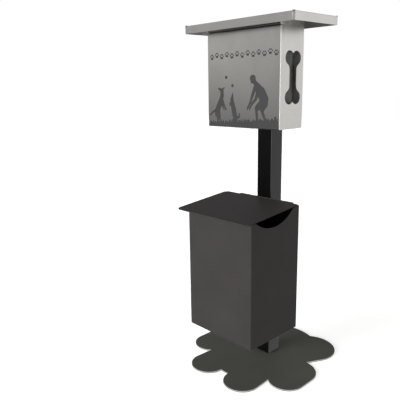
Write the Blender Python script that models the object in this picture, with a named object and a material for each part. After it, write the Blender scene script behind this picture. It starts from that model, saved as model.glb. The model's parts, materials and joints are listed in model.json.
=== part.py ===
"""Dog waste bin on a post: a bag dispenser under a roof tray, a bin with a hinged lid, and a paw-shaped base.

Metres, +Z up. The origin is on the floor, under the middle of the base plate, on the post's own axis.
-Y is the front, where the dispenser's door is. +X is the side with the bone opening and the waste scoop.
"""

from math import acos, atan2, cos, pi, radians, sin, sqrt, tan

import bmesh
import bpy
from mathutils import Matrix, Vector

# ---- driving dimensions ----------------------------------------------------------------------------------
GAP = 0.0003                    # between pieces that touch
SHEET = 0.0015                  # sheet steel of the dispenser, the roof and the bin
TOTAL_HEIGHT = 1.150

BASE_THICKNESS = 0.006
# each toe or heel lobe of the +X half is the hull of two discs, (x, y, radius): an inner and an outer one
LOBES = (
    ((0.085, -0.165, 0.050), (0.0775, -0.224, 0.0614)),
    ((0.163, -0.055, 0.074), (0.178, -0.115, 0.060)),
    ((0.100, 0.060, 0.073), (0.110, 0.114, 0.089)),
)
# the middle of the plate, between the lobes
FRONT_WEB = (0.0, -0.093, 0.134)
HEEL = (0.0, 0.054, 0.146)
OUTLINE_STEPS = 168
LOBE_STEPS = 10                 # discs that stand for the hull of a lobe's two

POST_SIZE = 0.060
POST_WALL = 0.0025
POST_CORNER = 0.004
POST_TOP = 1.118
PLUG_CORNER = 0.002             # of the pieces that fit inside the post
END_PLATE_HEIGHT = 0.008
BASE_SCREW_OFFSET = 0.016
BASE_SCREW_RADIUS = 0.003
BASE_SCREW_HEAD_RADIUS = 0.0062
BASE_SCREW_HEAD_DEPTH = 0.0032

BACK_Y = -POST_SIZE / 2 - GAP   # the back of the bin and of the dispenser, on the post's front face

BIN_WIDTH = 0.275
BIN_SHIFT = 0.012               # to the +X side, which balances the lid's overhang on the other side
BIN_DEPTH = 0.232
BIN_BOTTOM = 0.155
BIN_TOP = 0.556                 # at the front
SLOPE = radians(5.5)            # the bin's top edge and its lid fall to the front, so that rain runs off
BIN_CORNER = 0.003
SCOOP_CHORD = 0.180
SCOOP_DEPTH = 0.035
SCOOP_SHIFT = 0.006             # the scoop sits this far forward of the middle of the side

LID_THICKNESS = 0.003
LID_GAP = 0.0019                # from the bin's top edge to the underside of the lid
LID_LEFT_OVERHANG = 0.045
LID_FRONT_OVERHANG = 0.016
LID_CORNER = 0.018
LID_REAR_CORNER = 0.004

BUMPER_RADIUS = 0.007
BUMPER_INSET = 0.0065           # from the bin's sides, so that it rests on their top edges

DRAIN_RADIUS = 0.004
DRAIN_INSET = 0.045

BUCKET_HEIGHT = 0.352
BUCKET_CLEARANCE = 0.0105       # from the bin's outside to the bucket's wall
BUCKET_BACK_CLEARANCE = 0.0175  # more at the back, for the bolts' nuts
BUCKET_RIM = 0.0045
BUCKET_WALL = 0.002
BUCKET_TAPER = 0.006            # how much narrower each side is at the bottom
BUCKET_CORNER = 0.022
BUCKET_RIM_HEIGHT = 0.006
BUCKET_SLOT_HALF = (0.035, 0.011)
BUCKET_SLOT_DROP = 0.030        # from the rim to the middle of the finger slot

BOX_WIDTH = 0.300
BOX_DEPTH = 0.112
BOX_BOTTOM = 0.825
DOOR_TOP = 1.1225
HEADER_GAP = 0.001              # between the door and the fixed header above it, under the roof
DOOR_RETURN = 0.0143            # depth of the door's folded edges
RIM_FLANGE = 0.012              # inward flange round the dispenser's front opening

ROOF_WIDTH = 0.444
ROOF_FRONT_Y = -0.175
ROOF_BACK_Y = 0.033
ROOF_FLANGE = 0.025

RIVET_X = 0.115
RIVET_FRONT_INSET = 0.034
RIVET_BACK_INSET = 0.030
RIVET_HOLE_RADIUS = 0.0026
RIVET_HEAD_RADIUS = 0.0048

BONE_CENTRE_Y = -0.0815
BONE_CENTRE_Z = 0.976
BONE_LOBE_RADIUS = 0.0205
BONE_LOBE_Y = 0.0165
BONE_LOBE_Z = 0.057
BONE_FILLET = 0.018

ROLL_X = 0.100                  # close to the bone opening
ROLL_Y = -0.078
ROLL_RADIUS = 0.040
ROLL_HEIGHT = 0.220
CORE_RADIUS = 0.0155
CORE_BORE = 0.0125
SPINDLE_RADIUS = 0.0045
SPINDLE_FOOT_RADIUS = 0.022
SPINDLE_NECK_RADIUS = 0.008
SPINDLE_SEAT_RADIUS = 0.018
KNOB_RADIUS = 0.010
KNOB_HEIGHT = 0.024
KNOB_SKIRT_RADIUS = 0.019
KNOB_CLEARANCE = 0.002          # above the roll

LOCK_X = 0.025
LOCK_Y = -0.112
LOCK_HOUSING_RADIUS = 0.0088
LOCK_PLUG_RADIUS = 0.006
LOCK_FACE_RADIUS = 0.011
LOCK_FACE_DEPTH = 0.0022        # below the dispenser's floor
LOCK_HOUSING_HEIGHT = 0.0195
LOCK_NUT_RADIUS = 0.0135
LOCK_NUT_HEIGHT = 0.003
PLUG_RISE = 0.003               # of the plug above its housing
KEYWAY_HALF = (0.0009, 0.0035)
CAM_LENGTH = 0.024
CAM_HALF_WIDTH = 0.007
CAM_THICKNESS = 0.0025
CAM_BORE = 0.0021
CAM_CORNERS = [0.003, 0.0068, 0.0068, 0.003]

CATCH_REACH = (0.030, 0.012)    # the catch's two ends, on the -X side of the lock's axis
CATCH_HEIGHT = 0.0285           # of its arm above the dispenser's underside
CATCH_PLATE = 0.022
CATCH_LIP = 0.009

KNUCKLE_RADIUS = 0.003
PIN_RADIUS = 0.0013
LEAF = 0.0012                   # thickness of a hinge leaf
LEAF_LENGTH = 0.016             # from the axis to the far edge
DOOR_LEAF_LENGTH = 0.0115       # shorter, to stay on the door's folded edge
LEAF_CLEARANCE = 0.0005         # between a knuckle and what turns past it
KNUCKLE_TAB_START = 0.0002      # the tab from a leaf to its knuckle begins this near the axis
KNUCKLES = 5
LID_HINGE_HALF = 0.115
DOOR_HINGE_INSET = 0.019        # from the door's ends to the hinge's

BOLT_RADIUS = 0.004
BOLT_HOLE_RADIUS = 0.0045
HEX_RADIUS = 0.0075             # across the corners of an 8 mm bolt's head and nut
HEAD_HEIGHT = 0.0053
NUT_HEIGHT = 0.0065
WASHER_RADIUS = 0.008
WASHER_THICKNESS = 0.0016
BOLT_HEIGHTS = {
    "bin_bolt_lower": 0.230,
    "bin_bolt_upper": 0.470,
    "dispenser_bolt_lower": 0.900,
    "dispenser_bolt_upper": 1.060,
}

# ---- dimensions that follow ------------------------------------------------------------------------------
POST_HALF = POST_SIZE / 2
BIN_FRONT_Y = BACK_Y - BIN_DEPTH
BIN_LEFT_X = BIN_SHIFT - BIN_WIDTH / 2
BIN_RIGHT_X = BIN_SHIFT + BIN_WIDTH / 2
BOX_FRONT_Y = BACK_Y - BOX_DEPTH
BOX_SIDE_X = BOX_WIDTH / 2
BOX_TOP = TOTAL_HEIGHT - SHEET - GAP
SEAM_Y = BOX_FRONT_Y + DOOR_RETURN      # where the door's folded edges end
RIM_Y = SEAM_Y + GAP                    # where the dispenser's body begins
DOOR_AXIS = Vector((-BOX_SIDE_X - KNUCKLE_RADIUS - GAP, SEAM_Y, 0))
LID_AXIS = Vector((0, BACK_Y - KNUCKLE_RADIUS - GAP, 0))
LID_AXIS.z = BIN_TOP + (LID_AXIS.y - BIN_FRONT_Y) * tan(SLOPE) + (LID_GAP + LID_THICKNESS / 2) / cos(SLOPE)
# the lid is modelled level with its hinge's axis and then turned by the slope
LID_BOTTOM = LID_AXIS.z - LID_THICKNESS / 2
LID_FRONT_Y = LID_AXIS.y - (LID_AXIS.y - BIN_FRONT_Y) / cos(SLOPE)   # over the bin's front face
ROLL_BOTTOM = BOX_BOTTOM + 0.0160
LOCK_AXIS = Vector((LOCK_X, LOCK_Y, 0))
ROLL_AXIS = Vector((ROLL_X, ROLL_Y, 0))

# colour (sRGB, 0 to 1), roughness, metallic
FINISHES = {
    "stainless": ((0.72, 0.71, 0.69), 0.38, 1.0),
    "bin_paint": ((0.16, 0.155, 0.155), 0.55, 0.0),
    "post_paint": ((0.13, 0.125, 0.12), 0.5, 0.0),
    "base_paint": ((0.26, 0.26, 0.24), 0.55, 0.0),
    "zinc": ((0.66, 0.66, 0.64), 0.4, 1.0),
    "black_plastic": ((0.10, 0.10, 0.10), 0.6, 0.0),
    "rubber": ((0.06, 0.06, 0.06), 0.85, 0.0),
    "bag_film": ((0.20, 0.21, 0.19), 0.4, 0.0),
    "cardboard": ((0.62, 0.50, 0.36), 0.9, 0.0),
}


# ---- tools -----------------------------------------------------------------------------------------------
def clear_scene():
    """Start from an empty file."""
    for item in list(bpy.data.objects):
        bpy.data.objects.remove(item, do_unlink=True)


def finish_material(finish):
    """The Principled material of one finish, made the first time that it is asked for."""
    found = bpy.data.materials.get(finish)
    if found:
        return found
    colour, roughness, metallic = FINISHES[finish]
    material = bpy.data.materials.new(finish)
    material.use_nodes = True
    shader = material.node_tree.nodes["Principled BSDF"]
    linear = [channel ** 2.2 for channel in colour]
    shader.inputs["Base Color"].default_value = (*linear, 1.0)
    shader.inputs["Roughness"].default_value = roughness
    shader.inputs["Metallic"].default_value = metallic
    return material


def new_object(name, mesh):
    item = bpy.data.objects.new(name, mesh)
    bpy.context.scene.collection.objects.link(item)
    return item


def solid(name, rings, loops_close=True):
    """A closed solid from rings of points: neighbouring rings are bridged and the two ends are capped."""
    form = bmesh.new()
    loops = [[form.verts.new(point) for point in ring] for ring in rings]
    count = len(rings[0])
    for lower, upper in zip(loops, loops[1:]):
        for i in range(count):
            j = (i + 1) % count
            form.faces.new((lower[i], lower[j], upper[j], upper[i]))
    if loops_close:
        form.faces.new(list(reversed(loops[0])))
        form.faces.new(loops[-1])
    else:
        for i in range(count):
            j = (i + 1) % count
            form.faces.new((loops[-1][i], loops[-1][j], loops[0][j], loops[0][i]))
    bmesh.ops.recalc_face_normals(form, faces=form.faces)
    mesh = bpy.data.meshes.new(name)
    form.to_mesh(mesh)
    form.free()
    return new_object(name, mesh)


def box(name, low, high):
    x0, y0, z0 = low
    x1, y1, z1 = high
    corners = [(x0, y0), (x1, y0), (x1, y1), (x0, y1)]
    return solid(name, [[(x, y, z) for x, y in corners] for z in (z0, z1)])


def turned(name, profile, centre, axis="Z", sides=24, start=0.0):
    """A solid turned round a line through centre along axis; profile lists (radius, place along the axis)."""
    turn = {
        "X": Matrix(((0, 0, 1), (1, 0, 0), (0, 1, 0))),
        "Y": Matrix(((0, 1, 0), (0, 0, 1), (1, 0, 0))),
        "Z": Matrix.Identity(3),
    }[axis]
    middle = Vector(centre)
    rings = []
    for radius, along in profile:
        ring = []
        for i in range(sides):
            angle = start + 2 * pi * i / sides
            ring.append(middle + turn @ Vector((radius * cos(angle), radius * sin(angle), along)))
        rings.append(ring)
    ring_shaped = profile[0][0] == profile[-1][0] and profile[0][1] == profile[-1][1]
    if ring_shaped:
        return solid(name, rings[:-1], loops_close=False)
    return solid(name, rings)


def rod(name, centre, radius, start, end, axis="Z", sides=24, turn=0.0):
    return turned(name, [(radius, start), (radius, end)], centre, axis, sides, turn)


def tube(name, centre, outer, inner, start, end, axis="Z", sides=24, turn=0.0):
    """A straight ring: a washer, a roll or a core."""
    profile = [(inner, start), (outer, start), (outer, end), (inner, end), (inner, start)]
    return turned(name, profile, centre, axis, sides, turn)


def rounded_rectangle(x0, x1, y0, y1, radii, steps=4):
    """Outline points, anticlockwise from the corner at x1, y0; radii are given in that corner order."""
    corners = [(x1, y0, -90), (x1, y1, 0), (x0, y1, 90), (x0, y0, 180)]
    points = []
    for (x, y, first), radius in zip(corners, radii):
        middle_x = x - radius if x == x1 else x + radius
        middle_y = y - radius if y == y1 else y + radius
        for i in range(steps + 1):
            angle = radians(first + 90 * i / steps)
            points.append((middle_x + radius * cos(angle), middle_y + radius * sin(angle)))
    return points


def combine(item, tool, operation):
    """Join tool to item, or cut it away, and remove the tool."""
    step = item.modifiers.new(operation, "BOOLEAN")
    step.operation = operation
    step.solver = "EXACT"
    step.object = tool
    graph = bpy.context.evaluated_depsgraph_get()
    item.data = bpy.data.meshes.new_from_object(item.evaluated_get(graph))
    item.data.name = item.name
    item.modifiers.clear()
    bpy.data.objects.remove(tool, do_unlink=True)
    return item


def cut(item, *tools):
    for tool in tools:
        combine(item, tool, "DIFFERENCE")
    return item


def join(item, *tools):
    for tool in tools:
        combine(item, tool, "UNION")
    return item


def tidy_mesh(mesh):
    """Merge coplanar faces and stray points that cuts and unions leave behind."""
    form = bmesh.new()
    form.from_mesh(mesh)
    bmesh.ops.remove_doubles(form, verts=form.verts, dist=0.000005)
    bmesh.ops.dissolve_limit(form, angle_limit=radians(0.05), verts=form.verts, edges=form.edges)
    bmesh.ops.triangulate(form, faces=[face for face in form.faces if len(face.verts) > 4])
    form.to_mesh(mesh)
    form.free()


def complete(item, finish, smooth=False):
    """Give a finished piece its material and shading."""
    tidy_mesh(item.data)
    item.data.materials.clear()
    item.data.materials.append(finish_material(finish))
    if smooth:
        item.data.shade_smooth()
        item.data.set_sharp_from_angle(angle=radians(35))
    return item


def joint_empty(name, place):
    """An empty on a joint's axis, which the joint's moving pieces are parented to."""
    holder = new_object(name, None)
    holder.location = place
    return holder


def hang_on(holder, *items, turn=0.0):
    """Parent pieces that were modelled in place to a joint's empty, and turn them round its X axis."""
    for item in items:
        item.data.transform(Matrix.Translation(-holder.location))
        item.data.transform(Matrix.Rotation(turn, 4, "X"))
        item.parent = holder


# ---- base and post ---------------------------------------------------------------------------------------
def lobe_discs():
    """Every lobe of the plate, left and right, and its middle, each as a list of overlapping discs."""
    lobes = [[FRONT_WEB], [HEEL]]
    for inner, outer in LOBES:
        for side in (1, -1):
            lobe = []
            for i in range(LOBE_STEPS + 1):
                share = i / LOBE_STEPS
                x, y, radius = (a + (b - a) * share for a, b in zip(inner, outer))
                lobe.append((side * x, y, radius))
            lobes.append(lobe)
    return lobes


def farthest(lobes, angle):
    """How far from the origin the plate reaches at an angle, and which lobe reaches that far."""
    reach = []
    for lobe in lobes:
        best = 0.0
        for x, y, radius in lobe:
            along = x * cos(angle) + y * sin(angle)
            inside = radius ** 2 - x ** 2 - y ** 2 + along ** 2
            if inside > 0:
                best = max(best, along + sqrt(inside))
        reach.append(best)
    owner = max(range(len(lobes)), key=lambda number: reach[number])
    return reach[owner], owner


def plate_outline():
    """The plate's outline, with a point of its own in each sharp notch where two lobes meet."""
    lobes = lobe_discs()
    angles = [2 * pi * i / OUTLINE_STEPS for i in range(OUTLINE_STEPS)]
    notches = []
    for start in angles:
        end = start + 2 * pi / OUTLINE_STEPS
        first = farthest(lobes, start)[1]
        if farthest(lobes, end)[1] == first:
            continue
        for _ in range(30):
            middle = (start + end) / 2
            if farthest(lobes, middle)[1] == first:
                start = middle
            else:
                end = middle
        notches.append(start)
    outline = []
    for angle in sorted(angles + notches):
        reach = farthest(lobes, angle)[0]
        outline.append((reach * cos(angle), reach * sin(angle)))
    return outline


def base_screw_places():
    offsets = (-BASE_SCREW_OFFSET, BASE_SCREW_OFFSET)
    return [(x, y) for x in offsets for y in offsets]


def make_base():
    outline = plate_outline()
    plate = solid("base_plate", [[(x, y, z) for x, y in outline] for z in (0, BASE_THICKNESS)])
    end_bottom = BASE_THICKNESS + GAP
    end_top = end_bottom + END_PLATE_HEIGHT
    end_half = POST_HALF - POST_WALL - GAP
    end_ring = rounded_rectangle(-end_half, end_half, -end_half, end_half, [PLUG_CORNER] * 4)
    end_plate = solid("post_end_plate", [[(x, y, z) for x, y in end_ring] for z in (end_bottom, end_top)])
    for number, (x, y) in enumerate(base_screw_places(), start=1):
        hole = BASE_SCREW_RADIUS + GAP
        head_hole = BASE_SCREW_HEAD_RADIUS + GAP
        sink = [(head_hole, -0.001), (head_hole, 0.0), (hole, BASE_SCREW_HEAD_DEPTH), (hole, 0.007)]
        cut(plate, turned("sink", sink, (x, y, 0), sides=16))
        cut(end_plate, rod("hole", (x, y, 0), hole, 0.0, end_top + 0.001, sides=16))
        shape = [
            (BASE_SCREW_HEAD_RADIUS, GAP),
            (BASE_SCREW_RADIUS, BASE_SCREW_HEAD_DEPTH + GAP),
            (BASE_SCREW_RADIUS, end_top - 0.0015),
            (BASE_SCREW_RADIUS - 0.0008, end_top - 0.0005),
        ]
        complete(turned(f"base_screw_{number}", shape, (x, y, 0), sides=16), "zinc", smooth=True)
    complete(plate, "base_paint")
    complete(end_plate, "zinc")


def make_post():
    half = POST_HALF
    inner = half - POST_WALL
    outer_ring = rounded_rectangle(-half, half, -half, half, [POST_CORNER] * 4)
    inner_corner = POST_CORNER - POST_WALL
    inner_ring = rounded_rectangle(-inner, inner, -inner, inner, [inner_corner] * 4)
    low = BASE_THICKNESS + GAP
    rings = [
        [(x, y, low) for x, y in inner_ring],
        [(x, y, low) for x, y in outer_ring],
        [(x, y, POST_TOP) for x, y in outer_ring],
        [(x, y, POST_TOP) for x, y in inner_ring],
    ]
    post = solid("post", rings, loops_close=False)
    for height in BOLT_HEIGHTS.values():
        cut(post, rod("hole", (0, 0, height), BOLT_HOLE_RADIUS, -0.04, 0.04, "Y", sides=12))
    complete(post, "post_paint", smooth=True)

    cap_ring = rounded_rectangle(-half, half, -half, half, [POST_CORNER] * 4)
    plug_half = inner - GAP
    cap = solid("post_cap", [[(x, y, POST_TOP + z) for x, y in cap_ring] for z in (GAP, 0.003)])
    plug_ring = rounded_rectangle(-plug_half, plug_half, -plug_half, plug_half, [PLUG_CORNER] * 4)
    plug = solid("plug", [[(x, y, POST_TOP + z) for x, y in plug_ring] for z in (-0.012, 0.001)])
    complete(join(cap, plug), "black_plastic")


def make_bolts():
    """Each bolt runs forward through the post and a back panel to its nut inside the bin or the dispenser."""
    for name, height in BOLT_HEIGHTS.items():
        middle = (0, 0, height)
        washer_back = POST_HALF + GAP
        head_face = washer_back + WASHER_THICKNESS + GAP
        inner_washer = BACK_Y - SHEET - GAP
        nut_face = inner_washer - WASHER_THICKNESS - GAP
        tip = nut_face - NUT_HEIGHT - 0.002
        bolt = rod(name, middle, HEX_RADIUS, head_face, head_face + HEAD_HEIGHT, "Y", sides=6)
        join(bolt, rod("shank", middle, BOLT_RADIUS, tip, head_face + 0.001, "Y", sides=16))
        complete(bolt, "zinc")
        bore = BOLT_RADIUS + GAP
        outer = tube(
            f"{name}_outer_washer", middle, WASHER_RADIUS, bore,
            washer_back, washer_back + WASHER_THICKNESS, "Y", sides=16,
        )
        inner = tube(
            f"{name}_inner_washer", middle, WASHER_RADIUS, bore,
            inner_washer - WASHER_THICKNESS, inner_washer, "Y", sides=16,
        )
        nut = rod(f"{name}_nut", middle, HEX_RADIUS, nut_face - NUT_HEIGHT, nut_face, "Y", sides=6)
        cut(nut, rod("bore", middle, bore, nut_face - 0.01, nut_face + 0.01, "Y", sides=16))
        complete(outer, "zinc", smooth=True)
        complete(inner, "zinc", smooth=True)
        complete(nut, "zinc")


# ---- bin -------------------------------------------------------------------------------------------------
def back_bolt_hole(height):
    return rod("hole", (0, BACK_Y, height), BOLT_HOLE_RADIUS, -0.01, 0.01, "Y", sides=12)


def bin_rim(y):
    """Height of the bin's sloping top edge."""
    return BIN_TOP + (y - BIN_FRONT_Y) * tan(SLOPE)


def make_bin():
    """A sheet-metal box, open at the top, with a crescent scoop in its +X side and four drain holes."""
    outer = rounded_rectangle(BIN_LEFT_X, BIN_RIGHT_X, BIN_FRONT_Y, BACK_Y, [BIN_CORNER] * 4, steps=3)
    inner = rounded_rectangle(
        BIN_LEFT_X + SHEET, BIN_RIGHT_X - SHEET, BIN_FRONT_Y + SHEET, BACK_Y - SHEET,
        [BIN_CORNER - SHEET] * 4, steps=3,
    )
    body = solid("bin_body", [
        [(x, y, BIN_BOTTOM) for x, y in outer],
        [(x, y, bin_rim(y)) for x, y in outer],
        [(x, y, bin_rim(y)) for x, y in inner],
        [(x, y, BIN_BOTTOM + SHEET) for x, y in inner],
    ])
    radius = (SCOOP_CHORD ** 2 / 4 + SCOOP_DEPTH ** 2) / (2 * SCOOP_DEPTH)
    scoop_y = (BIN_FRONT_Y + BACK_Y) / 2 - SCOOP_SHIFT
    rise = radius - SCOOP_DEPTH     # of the scoop's centre, square to the top edge
    scoop_centre = (BIN_RIGHT_X, scoop_y - rise * sin(SLOPE), bin_rim(scoop_y) + rise * cos(SLOPE))
    cut(body, rod("scoop", scoop_centre, radius, -0.01, 0.01, "X", sides=96))
    cut(body, back_bolt_hole(BOLT_HEIGHTS["bin_bolt_lower"]), back_bolt_hole(BOLT_HEIGHTS["bin_bolt_upper"]))
    for x in (BIN_LEFT_X + DRAIN_INSET, BIN_RIGHT_X - DRAIN_INSET):
        for y in (BIN_FRONT_Y + DRAIN_INSET, BACK_Y - DRAIN_INSET):
            cut(body, rod("drain", (x, y, BIN_BOTTOM), DRAIN_RADIUS, -0.01, 0.01, sides=12))
    complete(body, "bin_paint")


def make_bucket():
    """The lift-out bucket: tapered walls, a turned-out rim and a finger slot in each side."""
    low = BIN_BOTTOM + SHEET + GAP
    high = low + BUCKET_HEIGHT
    left = BIN_LEFT_X + BUCKET_CLEARANCE
    right = BIN_RIGHT_X - BUCKET_CLEARANCE
    front = BIN_FRONT_Y + BUCKET_CLEARANCE
    back = BACK_Y - BUCKET_BACK_CLEARANCE

    def ring(grow, z):
        corner = BUCKET_CORNER + grow
        points = rounded_rectangle(left - grow, right + grow, front - grow, back + grow, [corner] * 4)
        return [(x, y, z) for x, y in points]

    bucket = solid("bucket", [
        ring(-BUCKET_TAPER, low),
        ring(0, high - BUCKET_RIM_HEIGHT),
        ring(BUCKET_RIM, high - BUCKET_RIM_HEIGHT),
        ring(BUCKET_RIM, high - 0.002),
        ring(BUCKET_RIM - 0.0015, high),
        ring(-BUCKET_WALL, high),
        ring(-BUCKET_TAPER - BUCKET_WALL, low + BUCKET_WALL),
    ])
    half_length, half_height = BUCKET_SLOT_HALF
    slot = rounded_rectangle(-half_length, half_length, -half_height, half_height, [half_height - GAP] * 4)
    middle_y = (front + back) / 2
    slot_z = high - BUCKET_SLOT_DROP
    for x in (left, right):
        reach = (x - 0.012, x + 0.012)
        cut(bucket, solid("slot", [[(at, middle_y + y, slot_z + z) for y, z in slot] for at in reach]))
    complete(bucket, "black_plastic")


def make_lid():
    rear_y = LID_AXIS.y - KNUCKLE_RADIUS - LEAF_CLEARANCE
    outline = rounded_rectangle(
        BIN_LEFT_X - LID_LEFT_OVERHANG, BIN_RIGHT_X, LID_FRONT_Y - LID_FRONT_OVERHANG, rear_y,
        [LID_CORNER, LID_REAR_CORNER, LID_CORNER, LID_CORNER], steps=8,
    )
    lid = solid("lid", [[(x, y, z) for x, y in outline] for z in (LID_BOTTOM, LID_BOTTOM + LID_THICKNESS)])
    pieces = [complete(lid, "bin_paint")]
    for side, x in (("left", BIN_LEFT_X + BUMPER_INSET), ("right", BIN_RIGHT_X - BUMPER_INSET)):
        place = (x, LID_FRONT_Y + BUMPER_INSET, LID_BOTTOM)
        bumper = rod(f"lid_bumper_{side}", place, BUMPER_RADIUS, GAP - LID_GAP, -GAP, sides=20)
        pieces.append(complete(bumper, "rubber", smooth=True))
    return pieces


# ---- hinges ----------------------------------------------------------------------------------------------
def make_hinge(name, axis_place, along, low, high, leaf_length, fixed_leaf, moving_leaf, finish):
    """A piano hinge: its fixed leaf, its moving leaf and its pin.

    A leaf is given by the direction in which it runs from the axis, the direction in which it is offset, and
    how far its near face is offset. The fixed leaf has the knuckles at both ends, and they alternate.
    """
    forward = {"X": Vector((1, 0, 0)), "Z": Vector((0, 0, 1))}[along]
    pitch = (high - low) / KNUCKLES
    clear = KNUCKLE_RADIUS + LEAF_CLEARANCE

    def slab(start, end, near, far, leaf):
        run, offset, near_face = leaf
        a = axis_place + forward * start + run * near + offset * near_face
        b = axis_place + forward * end + run * far + offset * (near_face + LEAF)
        lows = [min(p, q) for p, q in zip(a, b)]
        highs = [max(p, q) for p, q in zip(a, b)]
        return box("slab", lows, highs)

    leaves = []
    for suffix, leaf, first in (("fixed_leaf", fixed_leaf, 0), ("moving_leaf", moving_leaf, 1)):
        piece = slab(low, high, clear, leaf_length, leaf)
        piece.name = f"{name}_{suffix}"
        for number in range(first, KNUCKLES, 2):
            start = low + number * pitch + GAP
            end = low + (number + 1) * pitch - GAP
            join(piece, slab(start, end, KNUCKLE_TAB_START, clear + 0.001, leaf))
            join(piece, rod("knuckle", axis_place, KNUCKLE_RADIUS, start, end, along, sides=20))
        cut(piece, rod("bore", axis_place, PIN_RADIUS + GAP, low - 0.01, high + 0.01, along, sides=12))
        leaves.append(complete(piece, finish, smooth=True))
    pin = rod(f"{name}_pin", axis_place, PIN_RADIUS, low - 0.001, high + 0.001, along, sides=12)
    return leaves[0], leaves[1], complete(pin, "zinc", smooth=True)


def make_lid_hinge():
    down = Vector((0, 0, -1))
    front = Vector((0, -1, 0))
    rear = Vector((0, 1, 0))
    wall_offset = BACK_Y - SHEET - GAP - LEAF - LID_AXIS.y
    lid_offset = LID_THICKNESS / 2 + GAP
    return make_hinge(
        "lid_hinge", LID_AXIS, "X", BIN_SHIFT - LID_HINGE_HALF, BIN_SHIFT + LID_HINGE_HALF,
        LEAF_LENGTH, (down, rear, wall_offset), (front, down, lid_offset), "bin_paint",
    )


def make_door_hinge():
    front = Vector((0, -1, 0))
    rear = Vector((0, 1, 0))
    inward = Vector((1, 0, 0))
    face_offset = KNUCKLE_RADIUS - LEAF
    return make_hinge(
        "door_hinge", DOOR_AXIS, "Z", BOX_BOTTOM + DOOR_HINGE_INSET, DOOR_TOP - DOOR_HINGE_INSET,
        DOOR_LEAF_LENGTH, (rear, inward, face_offset), (front, inward, face_offset), "stainless",
    )


# ---- dispenser -------------------------------------------------------------------------------------------
def bone_outline():
    """A bone standing on end, in Y and Z about its middle: four round lobes that flow into a shaft."""
    radius = BONE_LOBE_RADIUS
    drop = sqrt(radius ** 2 + 2 * radius * BONE_FILLET)
    start = acos(-BONE_LOBE_Y / radius)
    end = atan2(-drop, BONE_FILLET)
    quarter = []
    lobe_steps = 13
    for i in range(lobe_steps + 1):
        angle = start + (end - start) * i / lobe_steps
        quarter.append((BONE_LOBE_Y + radius * cos(angle), BONE_LOBE_Z + radius * sin(angle)))
    fillet_steps = 5
    for i in range(1, fillet_steps + 1):
        angle = end + pi + (pi - (end + pi)) * i / fillet_steps
        quarter.append((
            BONE_LOBE_Y + BONE_FILLET + BONE_FILLET * cos(angle),
            BONE_LOBE_Z - drop + BONE_FILLET * sin(angle),
        ))
    lower = [(y, -z) for y, z in reversed(quarter)]
    right = quarter + lower
    left = [(-y, z) for y, z in reversed(right)]
    return right[:-1] + left[:-1]


def rivet_places():
    rows = (BOX_FRONT_Y + RIVET_FRONT_INSET, BACK_Y - RIVET_BACK_INSET)
    return [(x, y) for x in (-RIVET_X, RIVET_X) for y in rows]


def make_dispenser_body():
    """The folded body: open to the front inside a rim, with a header above the door that is flush with it."""
    header_low = DOOR_TOP + HEADER_GAP
    body = box("dispenser_body", (-BOX_SIDE_X, RIM_Y, BOX_BOTTOM), (BOX_SIDE_X, BACK_Y, BOX_TOP))
    join(body, box("header", (-BOX_SIDE_X, BOX_FRONT_Y, header_low), (BOX_SIDE_X, RIM_Y + 0.005, BOX_TOP)))
    inside_low = (-BOX_SIDE_X + SHEET, RIM_Y + SHEET, BOX_BOTTOM + SHEET)
    inside_high = (BOX_SIDE_X - SHEET, BACK_Y - SHEET, BOX_TOP - SHEET)
    mouth_low = (-BOX_SIDE_X + RIM_FLANGE, RIM_Y - 0.01, BOX_BOTTOM + RIM_FLANGE)
    mouth_high = (BOX_SIDE_X - RIM_FLANGE, RIM_Y + 0.005, DOOR_TOP - RIM_FLANGE)
    inside = join(box("inside", inside_low, inside_high), box("mouth", mouth_low, mouth_high))
    hollow_low = (-BOX_SIDE_X + SHEET, BOX_FRONT_Y + SHEET, header_low + SHEET)
    hollow_high = (BOX_SIDE_X - SHEET, RIM_Y + 0.005, BOX_TOP - SHEET)
    cut(body, join(inside, box("hollow", hollow_low, hollow_high)))
    outline = bone_outline()
    bone = solid("bone", [
        [(x, BONE_CENTRE_Y + y, BONE_CENTRE_Z + z) for y, z in outline]
        for x in (BOX_SIDE_X - 0.01, BOX_SIDE_X + 0.01)
    ])
    cut(body, bone)
    for name in ("dispenser_bolt_lower", "dispenser_bolt_upper"):
        cut(body, back_bolt_hole(BOLT_HEIGHTS[name]))
    for x, y in rivet_places():
        cut(body, rod("hole", (x, y, BOX_TOP), RIVET_HOLE_RADIUS, -0.01, 0.01, sides=16))
    cut(body, rod("hole", (LOCK_X, LOCK_Y, BOX_BOTTOM), LOCK_HOUSING_RADIUS + GAP, -0.01, 0.01, sides=24))
    complete(body, "stainless")


def make_roof():
    half = ROOF_WIDTH / 2
    low = TOTAL_HEIGHT - ROOF_FLANGE

    def ring(inset, z):
        return [
            (-half + inset, ROOF_FRONT_Y + inset, z),
            (half - inset, ROOF_FRONT_Y + inset, z),
            (half - inset, ROOF_BACK_Y - inset, z),
            (-half + inset, ROOF_BACK_Y - inset, z),
        ]

    roof = solid("roof", [
        ring(0, TOTAL_HEIGHT), ring(0, low), ring(SHEET, low), ring(SHEET, TOTAL_HEIGHT - SHEET)
    ])
    for number, (x, y) in enumerate(rivet_places(), start=1):
        cut(roof, rod("hole", (x, y, TOTAL_HEIGHT), RIVET_HOLE_RADIUS, -0.01, 0.01, sides=16))
        shank = RIVET_HOLE_RADIUS - GAP
        inside = BOX_TOP - SHEET - GAP
        shape = [
            (1.5 * shank, inside - 0.0013),
            (1.5 * shank, inside),
            (shank, inside),
            (shank, TOTAL_HEIGHT + GAP),
            (RIVET_HEAD_RADIUS, TOTAL_HEIGHT + GAP),
            (RIVET_HEAD_RADIUS - 0.0008, TOTAL_HEIGHT + 0.0010),
            (RIVET_HEAD_RADIUS - 0.0028, TOTAL_HEIGHT + 0.0016),
        ]
        complete(turned(f"roof_rivet_{number}", shape, (x, y, 0), sides=16), "zinc", smooth=True)
    complete(roof, "stainless")


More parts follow.
